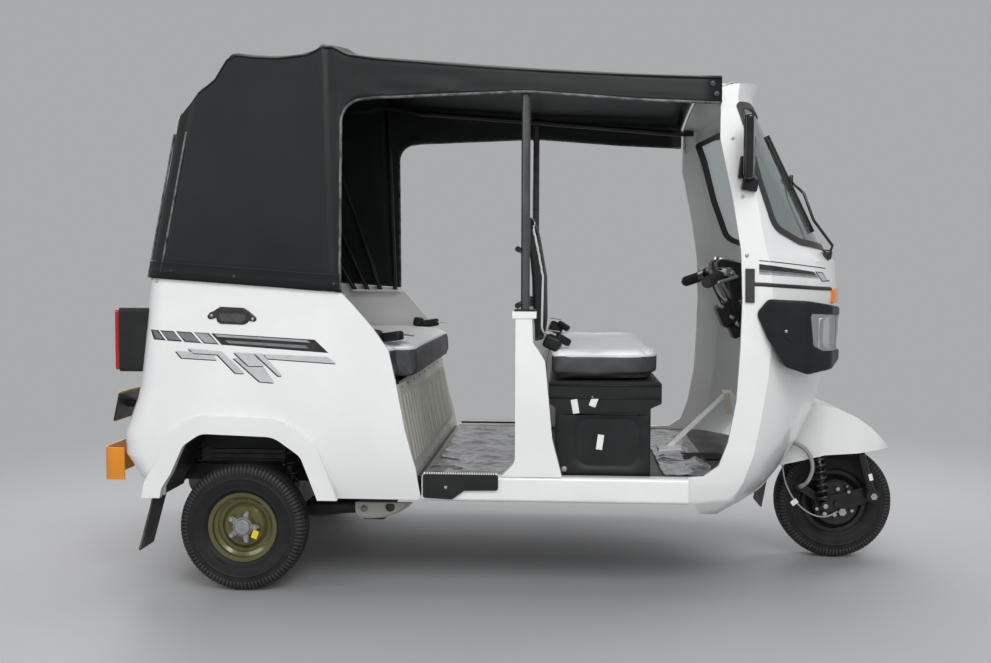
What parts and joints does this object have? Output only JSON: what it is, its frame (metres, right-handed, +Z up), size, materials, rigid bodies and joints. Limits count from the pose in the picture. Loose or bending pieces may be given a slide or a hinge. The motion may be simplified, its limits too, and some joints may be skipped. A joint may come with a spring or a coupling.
{
  "type": "three-wheeled auto rickshaw with a cloth hood",
  "caption": "Covered three-wheeler with a steered front wheel, open cab behind a curved windscreen, bench seat under a folding cloth hood and a rear engine behind a lid.",
  "frame": {"origin": "on the ground under the middle of the length and width", "axes": "+X forward, +Y to the left of the vehicle, +Z up"},
  "size_m": [2.647, 1.4876, 1.781],
  "materials": {
    "beige_paint": "satin beige paint",
    "black_plastic": "satin",
    "black_rubber": "matt",
    "black_vinyl": "satin coated cloth",
    "cast_metal": "cast",
    "chassis_black": "satin black paint",
    "floor_film": "dark paint under film",
    "glass": "clear",
    "khaki_paint": "satin khaki paint",
    "lens_clear": "clear",
    "lens_red": "gloss",
    "mirror_black": "gloss",
    "plate_blank": "blank yellow plate",
    "seat_cloth": "vinyl",
    "steel": "plain steel",
    "tyre": "matt",
    "white_paint": "gloss white paint",
    "yellow_paint": "gloss orange yellow paint"
  },
  "bodies": {
    "body": {"bench_backrest": "seat_cloth", "bench_cushion": "seat_cloth", "brake_pedal": "chassis_black", "bumper_stays": "chassis_black", "centre_pillars": "white_paint", "chassis": "chassis_black", "dashboard": "black_plastic", "driver_backrest": "seat_cloth", "driver_cushion": "seat_cloth", "driver_seat_base": "black_plastic", "engine": "cast_metal", "floor_pan": "floor_film", "front_cowl": "white_paint", "half_shafts": "steel", "headlamp_housings": "black_plastic", "headlamp_lenses": "lens_clear", "hood": "black_vinyl", "hood_bows": "chassis_black", "hood_legs": "chassis_black", "hood_poles": "chassis_black", "mirrors": "mirror_black", "muffler": "chassis_black", "number_plate": "plate_blank", "partition_rails": "chassis_black", "plate_bracket": "chassis_black", "rear_bumper": "yellow_paint", "rear_mudflaps": "black_rubber", "rear_springs": "chassis_black", "rear_tub": "white_paint", "rear_window": "glass", "roof_rails": "chassis_black", "seat_bulkhead": "beige_paint", "seat_deck": "chassis_black", "sills": "white_paint", "step_panels": "black_plastic", "suspension_arms": "beige_paint", "tail_lamp_housings": "black_plastic", "tail_lamp_lenses": "lens_red", "wheel_liners": "black_plastic", "wheel_well": "black_plastic", "windscreen_glass": "glass", "windscreen_seal": "black_rubber"},
    "engine_lid": {"engine_lid": "white_paint"},
    "steering": {"steering_column": "chassis_black", "front_damper": "chassis_black", "trailing_link": "chassis_black", "front_mudguard": "white_paint", "front_mudflap": "black_rubber", "handlebar": "chassis_black", "instrument_pod": "black_plastic", "brake_hose": "black_rubber", "speedometer_cable": "black_rubber"},
    "front_wheel": {"tyre_front": "tyre", "rim_front": "chassis_black"},
    "rear_wheel_right": {"tyre_rear_right": "tyre", "rim_rear_right": "khaki_paint"},
    "rear_wheel_left": {"tyre_rear_left": "tyre", "rim_rear_left": "khaki_paint"}
  },
  "joints": [
    {"name": "steering_turn", "type": "hinge", "parent": "body", "child": "steering", "pos_m": [1.05, 0, 0.318], "axis": [-0.4347, 0, 0.9006], "range_deg": [-40, 40]},
    {"name": "front_wheel_spin", "type": "hinge", "parent": "steering", "child": "front_wheel", "pos_m": [1.121, 0, 0.2025], "axis": [0, 1, 0], "continuous": true},
    {"name": "rear_wheel_right_spin", "type": "hinge", "parent": "body", "child": "rear_wheel_right", "pos_m": [-0.864, -0.575, 0.2025], "axis": [0, 1, 0], "continuous": true},
    {"name": "rear_wheel_left_spin", "type": "hinge", "parent": "body", "child": "rear_wheel_left", "pos_m": [-0.864, 0.575, 0.2025], "axis": [0, 1, 0], "continuous": true},
    {"name": "engine_lid_hinge", "type": "hinge", "parent": "body", "child": "engine_lid", "pos_m": [-1.17532, 0, 0.945], "axis": [0, 1, 0], "range_deg": [0, 70]}
  ]
}
